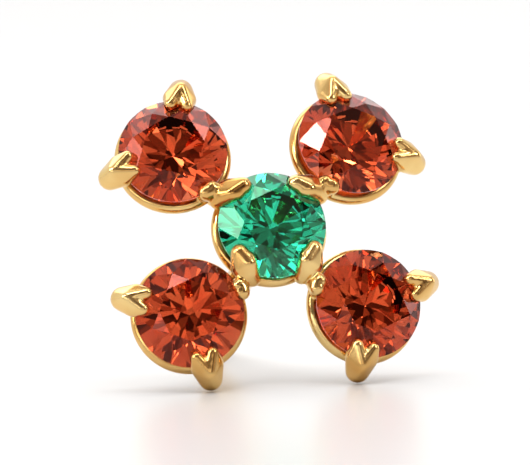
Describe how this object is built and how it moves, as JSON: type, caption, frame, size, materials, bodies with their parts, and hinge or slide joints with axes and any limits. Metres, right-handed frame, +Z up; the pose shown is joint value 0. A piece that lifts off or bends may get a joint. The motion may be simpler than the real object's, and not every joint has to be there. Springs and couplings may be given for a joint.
{
  "type": "flower stud earring",
  "caption": "Stud earring: round faceted stones as petals round a middle stone in a yellow metal claw setting, on a straight ear post, leaning back on its lower claws and the post's tip.",
  "frame": {"origin": "on the ground, under the middle of the bounding box", "axes": "+Z up, the flower faces -Y and leans back, the ear post runs back along +Y and down, +X to the right as seen from the front"},
  "size_m": [0.0092, 0.0124, 0.0084],
  "materials": {
    "gold": "polished yellow gold",
    "garnet": "clear orange-red stone with polished facets",
    "emerald": "clear green stone with polished facets"
  },
  "bodies": {
    "root": {"setting": "gold", "ear_post": "gold", "emerald": "emerald", "garnet_upper_right": "garnet", "garnet_upper_left": "garnet", "garnet_lower_left": "garnet", "garnet_lower_right": "garnet"}
  },
  "joints": []
}
